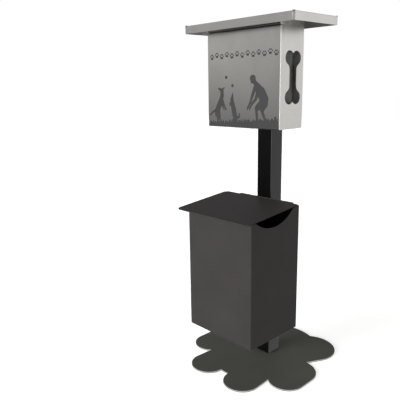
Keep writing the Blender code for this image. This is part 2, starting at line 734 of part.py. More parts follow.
def make_door():
    """The front panel: a shallow pan whose folded edges close on the dispenser's rim."""
    door = box("front_panel", (-BOX_SIDE_X, BOX_FRONT_Y, BOX_BOTTOM), (BOX_SIDE_X, SEAM_Y, DOOR_TOP))
    hollow_low = (-BOX_SIDE_X + SHEET, BOX_FRONT_Y + SHEET, BOX_BOTTOM + SHEET)
    hollow_high = (BOX_SIDE_X - SHEET, SEAM_Y + 0.01, DOOR_TOP - SHEET)
    cut(door, box("hollow", hollow_low, hollow_high))
    complete(door, "stainless")

    plate_y = BOX_FRONT_Y + SHEET + GAP
    arm_z = BOX_BOTTOM + CATCH_HEIGHT
    x0, x1 = (LOCK_X - reach for reach in CATCH_REACH)
    lip_y = LOCK_Y + CAM_HALF_WIDTH + LEAF_CLEARANCE
    catch = box("door_catch", (x0, plate_y, arm_z), (x1, plate_y + LEAF, arm_z + CATCH_PLATE))
    join(catch, box("arm", (x0, plate_y, arm_z), (x1, lip_y + LEAF, arm_z + LEAF)))
    join(catch, box("lip", (x0, lip_y, arm_z - CATCH_LIP), (x1, lip_y + LEAF, arm_z + LEAF)))
    complete(catch, "zinc")
    return [door, catch]


def make_lock():
    """A quarter-turn cam lock in the dispenser's floor: the housing and nut stay, the plug and cam turn.

    The cam points forward while unlocked. Locked, it points to -X, in front of the lip of the door's catch.
    """
    place = (LOCK_X, LOCK_Y, 0)
    floor_top = BOX_BOTTOM + SHEET
    face_bottom = BOX_BOTTOM - LOCK_FACE_DEPTH
    housing_top = BOX_BOTTOM + LOCK_HOUSING_HEIGHT
    plug_top = housing_top + PLUG_RISE
    cam_low = plug_top + GAP
    cam_high = cam_low + CAM_THICKNESS

    bore = LOCK_PLUG_RADIUS + GAP
    shape = [
        (bore, face_bottom),
        (LOCK_FACE_RADIUS, face_bottom),
        (LOCK_FACE_RADIUS, BOX_BOTTOM - GAP),
        (LOCK_HOUSING_RADIUS, BOX_BOTTOM - GAP),
        (LOCK_HOUSING_RADIUS, housing_top),
        (bore, housing_top),
        (bore, face_bottom),
    ]
    complete(turned("lock_housing", shape, place, sides=24), "zinc", smooth=True)
    nut_low = floor_top + GAP
    nut = rod("lock_nut", place, LOCK_NUT_RADIUS, nut_low, nut_low + LOCK_NUT_HEIGHT, sides=6)
    nut_bore = rod("bore", place, LOCK_HOUSING_RADIUS + GAP, BOX_BOTTOM, housing_top, sides=24)
    complete(cut(nut, nut_bore), "zinc")

    plug = rod("lock_plug", place, LOCK_PLUG_RADIUS, face_bottom + GAP, plug_top, sides=20)
    cut(plug, rod("bore", place, CAM_BORE, plug_top - 0.008, plug_top + 0.001, sides=12))
    half_x, half_y = KEYWAY_HALF
    keyway_low = (LOCK_X - half_x, LOCK_Y - half_y, face_bottom - 0.01)
    keyway_high = (LOCK_X + half_x, LOCK_Y + half_y, BOX_BOTTOM)
    cut(plug, box("keyway", keyway_low, keyway_high))
    complete(plug, "zinc", smooth=True)

    outline = rounded_rectangle(
        LOCK_X - CAM_HALF_WIDTH, LOCK_X + CAM_HALF_WIDTH, LOCK_Y - CAM_LENGTH, LOCK_Y + CAM_HALF_WIDTH,
        CAM_CORNERS, steps=5,
    )
    cam = solid("lock_cam", [[(x, y, z) for x, y in outline] for z in (cam_low, cam_high)])
    complete(cut(cam, rod("bore", place, CAM_BORE, plug_top, cam_high + 0.001, sides=12)), "zinc")
    shank = CAM_BORE - GAP
    shape = [
        (shank, plug_top - 0.006),
        (shank, cam_high + GAP),
        (2 * CAM_BORE, cam_high + GAP),
        (2 * CAM_BORE, cam_high + 0.0015),
        (1.4 * CAM_BORE, cam_high + 0.0026),
    ]
    screw = complete(turned("lock_cam_screw", shape, place, sides=16), "zinc", smooth=True)
    return [plug, cam, screw]


def make_roll():
    """The spindle stands on the dispenser's floor. The core and the roll of bags turn on it."""
    place = (ROLL_X, ROLL_Y, 0)
    floor_top = BOX_BOTTOM + SHEET + GAP
    roll_top = ROLL_BOTTOM + ROLL_HEIGHT
    seat = ROLL_BOTTOM - GAP
    shape = [
        (SPINDLE_FOOT_RADIUS, floor_top),
        (SPINDLE_FOOT_RADIUS, floor_top + 0.002),
        (SPINDLE_NECK_RADIUS, floor_top + 0.003),
        (SPINDLE_NECK_RADIUS, seat - 0.0042),
        (SPINDLE_SEAT_RADIUS, seat - 0.0022),
        (SPINDLE_SEAT_RADIUS, seat),
        (SPINDLE_RADIUS, seat),
        (SPINDLE_RADIUS, roll_top + 0.8 * KNOB_HEIGHT),
    ]
    complete(turned("roll_spindle", shape, place, sides=24), "zinc", smooth=True)
    knob_bore = SPINDLE_RADIUS + GAP
    knob_low = roll_top + KNOB_CLEARANCE
    knob_high = knob_low + KNOB_HEIGHT
    shape = [
        (knob_bore, knob_low),
        (KNOB_SKIRT_RADIUS, knob_low),
        (KNOB_SKIRT_RADIUS, knob_low + 0.003),
        (KNOB_RADIUS, knob_low + 0.005),
        (KNOB_RADIUS, knob_high - 0.002),
        (KNOB_RADIUS - 0.002, knob_high),
        (knob_bore, knob_high),
        (knob_bore, knob_low),
    ]
    complete(turned("spindle_knob", shape, place, sides=24), "black_plastic", smooth=True)
    core = tube("roll_core", place, CORE_RADIUS, CORE_BORE, ROLL_BOTTOM, roll_top, sides=24)
    film_bottom = ROLL_BOTTOM + 0.002
    film_top = roll_top - 0.002
    film = tube("bag_roll", place, ROLL_RADIUS, CORE_RADIUS + GAP, film_bottom, film_top, sides=36)
    return [complete(core, "cardboard", smooth=True), complete(film, "bag_film", smooth=True)]


# ---- the whole bin ---------------------------------------------------------------------------------------
def main():
    clear_scene()
    make_base()
    make_post()
    make_bolts()
    make_bin()
    make_bucket()
    make_dispenser_body()
    make_roof()

    lid_pieces = make_lid()
    lid_leaf = make_lid_hinge()[1]
    hang_on(joint_empty("lid_axis", LID_AXIS), *lid_pieces, lid_leaf, turn=SLOPE)

    door_pieces = make_door()
    door_leaf = make_door_hinge()[1]
    hang_on(joint_empty("door_axis", DOOR_AXIS), *door_pieces, door_leaf)

    hang_on(joint_empty("lock_axis", LOCK_AXIS), *make_lock())
    hang_on(joint_empty("roll_axis", ROLL_AXIS), *make_roll())


main()
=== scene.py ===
"""The looks of the dog waste bin: finishes, fine sheet-metal shapes, the door's print, light and camera.

Metres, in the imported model's own frame: +Z up, -Y the front with the door, +X the bone opening's side.
"""

import json
from math import acos, atan2, cos, hypot, pi, radians, sin, sqrt, tan, tau

import bmesh
import bpy
from mathutils import Matrix, Vector, noise


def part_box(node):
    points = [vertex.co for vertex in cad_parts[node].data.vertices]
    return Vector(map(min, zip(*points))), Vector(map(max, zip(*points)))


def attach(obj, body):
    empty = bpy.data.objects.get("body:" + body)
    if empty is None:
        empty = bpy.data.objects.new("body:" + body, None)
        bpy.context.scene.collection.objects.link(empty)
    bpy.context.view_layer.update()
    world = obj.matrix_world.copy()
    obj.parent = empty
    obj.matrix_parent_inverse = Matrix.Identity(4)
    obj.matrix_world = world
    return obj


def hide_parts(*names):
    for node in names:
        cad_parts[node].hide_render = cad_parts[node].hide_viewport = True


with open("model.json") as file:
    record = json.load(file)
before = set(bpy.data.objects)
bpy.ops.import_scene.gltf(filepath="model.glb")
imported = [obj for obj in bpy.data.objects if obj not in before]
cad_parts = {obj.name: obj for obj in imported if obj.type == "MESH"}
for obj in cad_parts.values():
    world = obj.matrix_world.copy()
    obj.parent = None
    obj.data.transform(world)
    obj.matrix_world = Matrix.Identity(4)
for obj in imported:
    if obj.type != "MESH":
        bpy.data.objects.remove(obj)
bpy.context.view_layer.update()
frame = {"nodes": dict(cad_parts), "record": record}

# ---- dimensions shared with the part's source ----------------------------------------------------------
GAP = 0.0003                    # between pieces that touch
SHEET = 0.0015                  # sheet steel of the dispenser, the roof and the bin
BEND = 0.0022                   # outer radius of a folded edge
CORNER = 0.0012                 # where two folds meet

LOBES = (
    ((0.085, -0.165, 0.050), (0.0775, -0.224, 0.0614)),
    ((0.163, -0.055, 0.074), (0.178, -0.115, 0.060)),
    ((0.100, 0.060, 0.073), (0.110, 0.114, 0.089)),
)
FRONT_WEB = (0.0, -0.093, 0.134)
HEEL = (0.0, 0.054, 0.146)
PLATE_STEPS = 720
LOBE_STEPS = 16
PLATE_EDGE = 0.0010             # width of the plate's worn upper edge

SLOPE = radians(5.5)            # of the bin's top edge and its lid
LID_THICKNESS = 0.003
SCOOP_CHORD = 0.180
SCOOP_DEPTH = 0.035
SCOOP_SHIFT = 0.006

BONE_CENTRE = (-0.0815, 0.976)
BONE_LOBE_RADIUS = 0.0205
BONE_LOBE = (0.0165, 0.057)
BONE_FILLET = 0.018

RIM_FLANGE = 0.012
DRAIN_RADIUS = 0.004
DRAIN_INSET = 0.045
BOLT_HOLE_RADIUS = 0.0045
RIVET_HOLE_RADIUS = 0.0026
LOCK_HOLE_RADIUS = 0.0091
SCREW_HOLE_RADIUS = 0.0033
SCREW_HEAD_DEPTH = 0.0032       # of the countersunk screws under the plate

# ---- dimensions of the finer shapes --------------------------------------------------------------------
ROOF_NOTCH = (0.0085, 0.0012)   # the open corner of the roof: along its long flange and along its short one
ROOF_NOTCH_HEIGHT = 0.0225
ROOF_TAB = 0.0160               # the doubled end of the long flanges
TAB_THICKNESS = 0.0007
WELD_DROPS = 5                  # at each corner of the roof
WELD_RADIUS = 0.0021
SEAM_WIDTH = 0.0007             # between two folded edges that meet at a corner
LAP_WIDTH = 0.0060              # the bin's back panel laps this far round its sides
LAP_DEPTH = 0.0005
LID_CORNER = 0.018
LID_REAR_CORNER = 0.004
DOOR_BEND = 0.0032              # the door's folds are wider
HEADER_GAP = 0.001              # between the door and the fixed header above it
PRINT_THICKNESS = 0.00015
GRASS_THICKNESS = 0.00020       # a second layer, over the feet that stand in it
MARK_COUNT = 13                 # paw marks in a row across the door
MARK_SIZE = 0.0175
MARK_HEIGHT = 1.0485
MARK_ENDS = (-0.129, 0.135)
MARK_STAGGER = 0.0025
WINDING_STEP = 0.0006           # between neighbouring turns at the ends of the roll
FILM_SLACK = 0.0005
FLOOR_SIZE = 12.0               # from the middle to each edge

# ---- camera: azimuth, elevation and tilt in degrees, the place in metres -------------------------------
CAMERA_AZIMUTH = 47.28
CAMERA_ELEVATION = 12.67
CAMERA_TILT = -0.97
CAMERA_PLACE = (1.0797, -1.3233, 0.9519)
CAMERA_LENS = 45.0


# ---- mesh tools ----------------------------------------------------------------------------------------
def piece(name, mesh):
    item = bpy.data.objects.new(name, mesh)
    bpy.context.scene.collection.objects.link(item)
    return item


def piece_from(name, form):
    """An object from a bmesh, which is freed."""
    bmesh.ops.recalc_face_normals(form, faces=form.faces)
    mesh = bpy.data.meshes.new(name)
    form.to_mesh(mesh)
    form.free()
    return piece(name, mesh)


def add_loft(form, rings, closed=False):
    """Bridges neighbouring rings, and caps both ends unless the last ring meets the first again."""
    loops = [[form.verts.new(point) for point in ring] for ring in rings]
    pairs = list(zip(loops, loops[1:]))
    if closed:
        pairs.append((loops[-1], loops[0]))
    count = len(rings[0])
    for lower, upper in pairs:
        for i in range(count):
            j = (i + 1) % count
            form.faces.new((lower[i], lower[j], upper[j], upper[i]))
    if not closed:
        form.faces.new(list(reversed(loops[0])))
        form.faces.new(loops[-1])


def loft(name, rings, closed=False):
    form = bmesh.new()
    add_loft(form, rings, closed)
    return piece_from(name, form)


def block(name, low, high):
    x0, y0, z0 = low
    x1, y1, z1 = high
    corners = [(x0, y0), (x1, y0), (x1, y1), (x0, y1)]
    return loft(name, [[(x, y, z) for x, y in corners] for z in (z0, z1)])


def turned(name, profile, centre, axis="Z", sides=48):
    """A turned piece; profile lists (radius, place along the axis)."""
    turn = {
        "X": Matrix(((0, 0, 1), (1, 0, 0), (0, 1, 0))),
        "Y": Matrix(((0, 1, 0), (0, 0, 1), (1, 0, 0))),
        "Z": Matrix.Identity(3),
    }[axis]
    middle = Vector(centre)
    rings = []
    for radius, along in profile:
        ring = []
        for i in range(sides):
            angle = tau * i / sides
            ring.append(middle + turn @ Vector((radius * cos(angle), radius * sin(angle), along)))
        rings.append(ring)
    return loft(name, rings)


def rod(name, centre, radius, start, end, axis="Z", sides=48):
    return turned(name, [(radius, start), (radius, end)], centre, axis, sides)


def rounded_rectangle(a0, a1, b0, b1, radii, steps=6):
    """Outline points, anticlockwise from the corner at a1, b0; radii are given in that corner order."""
    corners = [(a1, b0, -90), (a1, b1, 0), (a0, b1, 90), (a0, b0, 180)]
    points = []
    for (a, b, first), radius in zip(corners, radii):
        middle_a = a - radius if a == a1 else a + radius
        middle_b = b - radius if b == b1 else b + radius
        for i in range(steps + 1):
            angle = radians(first + 90 * i / steps)
            points.append((middle_a + radius * cos(angle), middle_b + radius * sin(angle)))
    return points


def pan(name, rectangle, open_end, closed_end, axis, corner=CORNER, bend=BEND, sheet=SHEET):
    """A box of sheet metal without its lid. The closed side meets the walls in folds of radius bend.

    The rectangle (a0, a1, b0, b1) lies across the axis: X and Y for "Z", and X and Z for "Y".
    """
    a0, a1, b0, b1 = rectangle
    inward = 1 if closed_end > open_end else -1
    steps = 5

    def ring(inset, along):
        radius = max(corner - inset, 0.0002)
        points = rounded_rectangle(a0 + inset, a1 - inset, b0 + inset, b1 - inset, [radius] * 4)
        if axis == "Z":
            return [(a, b, along) for a, b in points]
        return [(a, along, b) for a, b in points]

    def fold(start, radius, end):
        """Rings from the closed side round the fold to the wall."""
        rings = []
        for i in range(steps + 1):
            angle = radians(90 * (1 - i / steps))
            rings.append(ring(
                start + radius * (1 - cos(angle)),
                end - inward * radius * (1 - sin(angle)),
            ))
        return rings

    outside = fold(0, bend, closed_end) + [ring(0, open_end)]
    inside = [ring(sheet, open_end)]
    inside += reversed(fold(sheet, bend - sheet, closed_end - inward * sheet))
    return loft(name, outside + inside)


def combine(item, tool, operation):
    step = item.modifiers.new(operation, "BOOLEAN")
    step.operation = operation
    step.solver = "EXACT"
    step.object = tool
    graph = bpy.context.evaluated_depsgraph_get()
    item.data = bpy.data.meshes.new_from_object(item.evaluated_get(graph))
    item.data.name = item.name
    item.modifiers.clear()
    bpy.data.objects.remove(tool, do_unlink=True)
    return item


def cut(item, *tools):
    for tool in tools:
        combine(item, tool, "DIFFERENCE")
    return item


def soften(item, width=0.0004, segments=2, angle=35):
    """Rounds the edges a little, as deburring and paint do, and hardens the normals beside the rounds."""
    edges = item.modifiers.new("edges", "BEVEL")
    edges.width = width
    edges.segments = segments
    edges.limit_method = "ANGLE"
    edges.angle_limit = radians(angle)
    edges.use_clamp_overlap = True
    edges.miter_outer = "MITER_ARC"
    edges.harden_normals = True
    return item


def shade(item, angle=35):
    item.data.shade_smooth()
    item.data.set_sharp_from_angle(angle=radians(angle))
    return item


def finish(item, body, material, slot_name, *nodes):
    """Gives a piece its material and body, and hides the CAD nodes that it stands for. The slot name is not
    used.
    """
    item.data.materials.clear()
    for one in material if isinstance(material, (list, tuple)) else [material]:
        item.data.materials.append(one)
    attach(item, body)
    if nodes:
        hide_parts(*nodes)
    return item


# ---- material tools ------------------------------------------------------------------------------------
class Recipe:
    """A node material in the making. Each method adds nodes and returns the socket with the result."""

    def __init__(self, name):
        self.material = bpy.data.materials.new(name)
        self.material.use_nodes = True
        self.tree = self.material.node_tree
        self.shader = self.tree.nodes["Principled BSDF"]
        place = self.tree.nodes.new("ShaderNodeTexCoord")
        self.place = place.outputs["Object"]
        self.facing = place.outputs["Normal"]

    def add(self, kind, settings=None, **inputs):
        node = self.tree.nodes.new(kind)
        for key, value in (settings or {}).items():
            setattr(node, key, value)
        for key, value in inputs.items():
            self.feed(node.inputs[int(key[1:]) if key[0] == "_" else key], value)
        return node

    def feed(self, socket, value):
        if isinstance(value, bpy.types.NodeSocket):
            self.tree.links.new(value, socket)
        else:
            socket.default_value = value

    def math(self, operation, a, b=0.0):
        return self.add("ShaderNodeMath", {"operation": operation}, _0=a, _1=b).outputs[0]

    def stretched(self, x, y, z):
        """The place on the object, stretched along each axis."""
        scaled = self.add("ShaderNodeVectorMath", {"operation": "MULTIPLY"}, _0=self.place, _1=(x, y, z))
        return scaled.outputs[0]

    def noise(self, scale, detail=2.0, roughness=0.5, place=None):
        place = place or self.place
        made = self.add("ShaderNodeTexNoise", Vector=place, Scale=scale, Detail=detail, Roughness=roughness)
        return made.outputs["Fac"]

    def spread(self, value, low, high, from_low=0.3, from_high=0.7):
        """Maps a noise onto the span low to high."""
        node = self.add("ShaderNodeMapRange", Value=value)
        node.inputs["From Min"].default_value = from_low
        node.inputs["From Max"].default_value = from_high
        node.inputs["To Min"].default_value = low
        node.inputs["To Max"].default_value = high
        return node.outputs["Result"]

    def mix(self, share, a, b):
        """Between two numbers."""
        node = self.add("ShaderNodeMix", {"data_type": "FLOAT"}, Factor=share)
        self.feed(node.inputs["A"], a)
        self.feed(node.inputs["B"], b)
        return node.outputs["Result"]

    def blend(self, share, a, b):
        """Between two colours."""
        node = self.add("ShaderNodeMix", {"data_type": "RGBA"}, Factor=share)
        colours = [socket for socket in node.inputs if socket.type == "RGBA"]
        for socket, value in zip(colours, (a, b)):
            self.feed(socket, value if isinstance(value, bpy.types.NodeSocket) else (*value, 1.0))
        return [socket for socket in node.outputs if socket.type == "RGBA"][0]

    def bump(self, height, strength, distance, below=None):
        node = self.add("ShaderNodeBump", Height=height, Strength=strength, Distance=distance)
        if below:
            self.feed(node.inputs["Normal"], below)
        return node.outputs["Normal"]

    def set(self, **inputs):
        """Feeds the shader; underscores in a name stand for spaces."""
        for key, value in inputs.items():
            self.feed(self.shader.inputs[key.replace("_", " ")], value)
        return self.material


def shades(colour, low, high):
    return [tuple(channel * factor for channel in colour) for factor in (low, high)]


def brushed_steel(name, colour, roughness):
    """Sheet steel with a fine level grain, soft clouds from the mill and a few faint rubs."""
    made = Recipe(name)
    upright = made.noise(1.0, 3.0, 0.65, made.stretched(7, 7, 1500))
    level = made.noise(1.0, 3.0, 0.65, made.stretched(7, 1500, 7))
    turned_up = made.math("ABSOLUTE", made.add("ShaderNodeSeparateXYZ", _0=made.facing).outputs["Z"])
    grain = made.mix(made.math("GREATER_THAN", turned_up, 0.7), upright, level)
    cloud = made.noise(9.0, 4.0, 0.6)
    smear = made.noise(1.0, 4.0, 0.7, made.stretched(30, 30, 9))
    dark, light = shades(colour, 0.93, 1.05)
    tone = made.math("ADD", made.math("MULTIPLY", grain, 0.6), made.math("MULTIPLY", cloud, 0.4))
    base = made.blend(made.spread(tone, 0.0, 1.0, 0.38, 0.62), dark, light)
    rough = made.math(
        "ADD", made.spread(grain, roughness - 0.05, roughness + 0.05, 0.35, 0.65),
        made.spread(smear, -0.03, 0.04),
    )
    return made.set(
        Base_Color=base, Metallic=1.0, Roughness=rough, Normal=made.bump(grain, 0.10, 0.00006),
    )


def mill_finish(name, colour):
    """The sheet's unbrushed side, which is turned to the inside: dull grey, with the mill's soft clouds."""
    made = Recipe(name)
    cloud = made.noise(24.0, 4.0, 0.6)
    frost = made.noise(2400.0, 2.0, 0.6)
    dark, light = shades(colour, 0.92, 1.08)
    return made.set(
        Base_Color=made.blend(made.spread(cloud, 0.0, 1.0), dark, light), Metallic=0.65,
        Roughness=made.spread(frost, 0.66, 0.80), Normal=made.bump(frost, 0.10, 0.00004),
    )


def powder_coat(name, colour, roughness, specular, grain=900.0, depth=0.00012):
    """Baked powder paint: orange peel, fine speckle, and dust that lies in soft clouds."""
    made = Recipe(name)
    peel = made.noise(grain, 2.0, 0.55)
    speckle = made.noise(grain * 3.2, 1.0)
    cloud = made.noise(7.0, 5.0, 0.6)
    dark, light = shades(colour, 0.90, 1.10)
    tone = made.math("ADD", made.math("MULTIPLY", speckle, 0.45), made.math("MULTIPLY", cloud, 0.55))
    base = made.blend(made.spread(tone, 0.0, 1.0, 0.36, 0.64), dark, light)
    return made.set(
        Base_Color=base, Roughness=made.spread(cloud, roughness - 0.04, roughness + 0.05),
        Specular_IOR_Level=specular, Normal=made.bump(peel, 0.22, depth),
    )


def zinc_plate(name, colour, roughness):
    """Bright zinc plating: small cloudy crystals and fine handling marks."""
    made = Recipe(name)
    crystals = made.add("ShaderNodeTexVoronoi", Vector=made.place, Scale=420.0).outputs["Color"]
    patch = made.add("ShaderNodeSeparateColor", _0=crystals).outputs[0]
    marks = made.noise(1400.0, 3.0, 0.6)
    dark, light = shades(colour, 0.82, 1.06)
    patchy = made.spread(patch, roughness - 0.05, roughness + 0.05, 0, 1)
    return made.set(
        Base_Color=made.blend(patch, dark, light), Metallic=1.0,
        Roughness=made.math("ADD", patchy, made.spread(marks, -0.03, 0.05)),
        Normal=made.bump(marks, 0.12, 0.00005),
    )


def moulded_plastic(name, colour, roughness, texture=700.0):
    made = Recipe(name)
    cells = made.add("ShaderNodeTexVoronoi", {"feature": "SMOOTH_F1"}, Vector=made.place, Scale=texture)
    leather = cells.outputs["Distance"]
    cloud = made.noise(18.0, 3.0)
    dark, light = shades(colour, 0.85, 1.2)
    return made.set(
        Base_Color=made.blend(made.spread(cloud, 0.0, 1.0), dark, light),
        Roughness=made.spread(cloud, roughness - 0.04, roughness + 0.06),
        Normal=made.bump(leather, 0.25, 0.00015),
    )


def bag_film(name, colour):
    """Thin film wound tight: glossy, with bands where the winding pulled it and small creases."""
    made = Recipe(name)
    bands = made.noise(1.0, 4.0, 0.6, made.stretched(12, 12, 160))
    creases = made.noise(1.0, 5.0, 0.65, made.stretched(190, 190, 55))
    dark, light = shades(colour, 0.75, 1.3)
    layered = made.bump(bands, 0.35, 0.0004)
    return made.set(
        Base_Color=made.blend(made.spread(bands, 0.0, 1.0), dark, light),
        Roughness=made.spread(creases, 0.28, 0.50), Normal=made.bump(creases, 0.30, 0.0004, layered),
    )


def wound_board(name, colour):
    """Cardboard tube, wound in a steep spiral from grey-brown paper."""
    made = Recipe(name)
    fibres = made.noise(1.0, 4.0, 0.7, made.stretched(500, 500, 140))
    wave = made.add("ShaderNodeTexWave", {"wave_type": "BANDS", "bands_direction": "DIAGONAL"},
                    Vector=made.place, Scale=22.0, Distortion=0.4).outputs["Fac"]
    dark, light = shades(colour, 0.78, 1.12)
    tone = made.math("ADD", made.math("MULTIPLY", fibres, 0.7), made.math("MULTIPLY", wave, 0.3))
    return made.set(
        Base_Color=made.blend(made.spread(tone, 0.0, 1.0), dark, light),
        Roughness=made.spread(fibres, 0.82, 0.94), Specular_IOR_Level=0.3,
        Normal=made.bump(fibres, 0.4, 0.0002),
    )


def printing_ink(name, colour):
    """Screen-printed ink: nearly even, with pinholes and a trace of the steel's grain."""
    made = Recipe(name)
    pinholes = made.noise(2600.0, 2.0, 0.6)
    grain = made.noise(1.0, 3.0, 0.65, made.stretched(7, 7, 1500))
    dark, light = shades(colour, 0.94, 1.08)
    return made.set(
        Base_Color=made.blend(made.spread(grain, 0.0, 1.0), dark, light),
        Roughness=made.spread(pinholes, 0.50, 0.62), Specular_IOR_Level=0.35,
        Normal=made.bump(pinholes, 0.10, 0.00005),
    )


def cut_edge(name, colour):
    """Bare steel along a cut edge, with upright drag lines from the torch."""
    made = Recipe(name)
    drag = made.noise(1.0, 3.0, 0.6, made.stretched(900, 900, 60))
    dark, light = shades(colour, 0.75, 1.1)
    return made.set(
        Base_Color=made.blend(made.spread(drag, 0.0, 1.0), dark, light), Metallic=0.35,
        Roughness=made.spread(drag, 0.34, 0.52), Normal=made.bump(drag, 0.3, 0.0002),
    )


def make_finishes():
    return {
        "stainless": brushed_steel("brushed_stainless", (0.63, 0.62, 0.595), 0.36),
        "mill_finish": mill_finish("unbrushed_stainless", (0.58, 0.58, 0.54)),
        # a lighter, rougher copy of the brushed steel: a painted highlight on the doubled strips at the
        # roof's corners
        "painted_highlight_steel": brushed_steel("painted_highlight_stainless", (0.70, 0.69, 0.665), 0.42),
        "bin_paint": powder_coat("bin_powder_coat", (0.0325, 0.0298, 0.0294), 0.62, 0.06),
        "post_paint": powder_coat("post_powder_coat", (0.0007, 0.0005, 0.0005), 0.24, 0.46, grain=600.0),
        "base_paint": powder_coat("base_powder_coat", (0.081, 0.082, 0.071), 0.66, 0.10, grain=700.0),
        "cut_edge": cut_edge("bare_plate_edge", (0.40, 0.40, 0.385)),
        "zinc": zinc_plate("zinc_plating", (0.60, 0.60, 0.57), 0.34),
        "black_plastic": moulded_plastic("black_moulding", (0.014, 0.014, 0.014), 0.50),
        "rubber": moulded_plastic("black_rubber", (0.010, 0.010, 0.010), 0.80, 1600.0),
        "bag_film": bag_film("rolled_bag_film", (0.045, 0.048, 0.041)),
        "cardboard": wound_board("wound_cardboard", (0.36, 0.25, 0.15)),
        "ink": printing_ink("printed_ink", (0.030, 0.030, 0.031)),
    }


# ---- the base plate ------------------------------------------------------------------------------------
def lobe_discs():
    lobes = [[FRONT_WEB], [HEEL]]
    for inner, outer in LOBES:
        for side in (1, -1):
            lobe = []
            for i in range(LOBE_STEPS + 1):
                share = i / LOBE_STEPS
                x, y, radius = (a + (b - a) * share for a, b in zip(inner, outer))
                lobe.append((side * x, y, radius))
            lobes.append(lobe)
    return lobes


def farthest(lobes, angle, inset):
    """How far from the origin the plate reaches at an angle, drawn in by inset."""
    best = 0.0
    for lobe in lobes:
        for x, y, radius in lobe:
            along = x * cos(angle) + y * sin(angle)
            inside = (radius - inset) ** 2 - x ** 2 - y ** 2 + along ** 2
            if inside > 0:
                best = max(best, along + sqrt(inside))
    return best


def make_base_plate(finishes):
    """The paw-shaped plate, with countersunk holes. Its worn top edge and its cut side are bare steel."""
    low, high = (corner.z for corner in map(Vector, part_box("base_plate")))
    lobes = lobe_discs()
    angles = [tau * i / PLATE_STEPS for i in range(PLATE_STEPS)]

    def ring(inset, z):
        points = []
        for angle in angles:
            reach = farthest(lobes, angle, inset)
            points.append((reach * cos(angle), reach * sin(angle), z))
        return points

    rings = [
        ring(0.0006, low), ring(0.0, low + 0.0006), ring(0.0, high - PLATE_EDGE),
        ring(0.3 * PLATE_EDGE, high - 0.3 * PLATE_EDGE), ring(PLATE_EDGE, high),
    ]
    plate = loft("base_plate_looks", rings)
    for number in (1, 2, 3, 4):
        screw_low, screw_high = map(Vector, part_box(f"base_screw_{number}"))
        middle = (screw_low + screw_high) / 2
        head = (screw_high.x - screw_low.x) / 2 + GAP
        sink = [(head, -0.001), (head, 0.0)]
        sink += [(SCREW_HOLE_RADIUS, SCREW_HEAD_DEPTH), (SCREW_HOLE_RADIUS, 0.01)]
        cut(plate, turned("sink", sink, (middle.x, middle.y, low)))
    finish(plate, "stand", (finishes["base_paint"], finishes["cut_edge"]), "base_paint", "base_plate")
    for face in plate.data.polygons:
        upright = abs(face.normal.z) < 0.8
        face.material_index = 1 if upright else 0
        face.use_smooth = upright
    plate.visible_glossy = False
    return plate


# ---- the bin -------------------------------------------------------------------------------------------
def bolt_hole(name):
    low, high = map(Vector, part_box(name))
    middle = (low + high) / 2
    return rod("hole", (middle.x, low.y, middle.z), BOLT_HOLE_RADIUS, 0.0, high.y - low.y, "Y", 32)


def make_bin_body(finishes):
    """Folded sheet box with the crescent scoop. The back panel laps round the rear edges of the sides."""
    low, high = map(Vector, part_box("bin_body"))

    def rim(y):
        return high.z - (high.y - y) * tan(SLOPE)

    body = pan("bin_body_looks", (low.x, high.x, low.y, high.y), high.z + 0.01, low.z, "Z", corner=0.003)
    front, back, above = low.y - 0.01, high.y + 0.01, high.z + 0.05
    outline = [(front, rim(front)), (back, rim(back)), (back, above), (front, above)]
    cut(body, loft("slope", [[(x, y, z) for y, z in outline] for x in (low.x - 0.01, high.x + 0.01)]))
    radius = (SCOOP_CHORD ** 2 / 4 + SCOOP_DEPTH ** 2) / (2 * SCOOP_DEPTH)
    middle = (low.y + high.y) / 2 - SCOOP_SHIFT
    rise = radius - SCOOP_DEPTH
    scoop = (high.x, middle - rise * sin(SLOPE), rim(middle) + rise * cos(SLOPE))
    cut(body, rod("scoop", scoop, radius, -0.01, 0.01, "X", 256))
    cut(body, bolt_hole("bin_bolt_lower"), bolt_hole("bin_bolt_upper"))
    for x in (low.x + DRAIN_INSET, high.x - DRAIN_INSET):
        for y in (low.y + DRAIN_INSET, high.y - DRAIN_INSET):
            cut(body, rod("drain", (x, y, low.z), DRAIN_RADIUS, -0.01, 0.01, "Z", 32))
    lap_y = high.y - LAP_WIDTH
    for x in (low.x, high.x):
        groove_low = (x - LAP_DEPTH, lap_y - SEAM_WIDTH, low.z - 0.01)
        groove_high = (x + LAP_DEPTH, lap_y, high.z + 0.01)
        cut(body, block("groove", groove_low, groove_high))
    return finish(soften(shade(body)), "stand", finishes["bin_paint"], "bin_paint", "bin_body")


def make_lid(finishes):
    low, high = map(Vector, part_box("lid"))
    middle = (low + high) / 2
    half_width = (high.x - low.x) / 2
    half_length = (high.y - low.y - LID_THICKNESS * sin(SLOPE)) / (2 * cos(SLOPE))
    turn = Matrix.Rotation(SLOPE, 3, "X")
    radii = [LID_CORNER, LID_REAR_CORNER, LID_CORNER, LID_CORNER]
    outline = rounded_rectangle(-half_width, half_width, -half_length, half_length, radii, steps=20)
    faces = (-LID_THICKNESS / 2, LID_THICKNESS / 2)
    lid = loft("lid_looks", [[middle + turn @ Vector((x, y, z)) for x, y in outline] for z in faces])
    return finish(soften(shade(lid), 0.0009, 3), "lid", finishes["bin_paint"], "bin_paint", "lid")


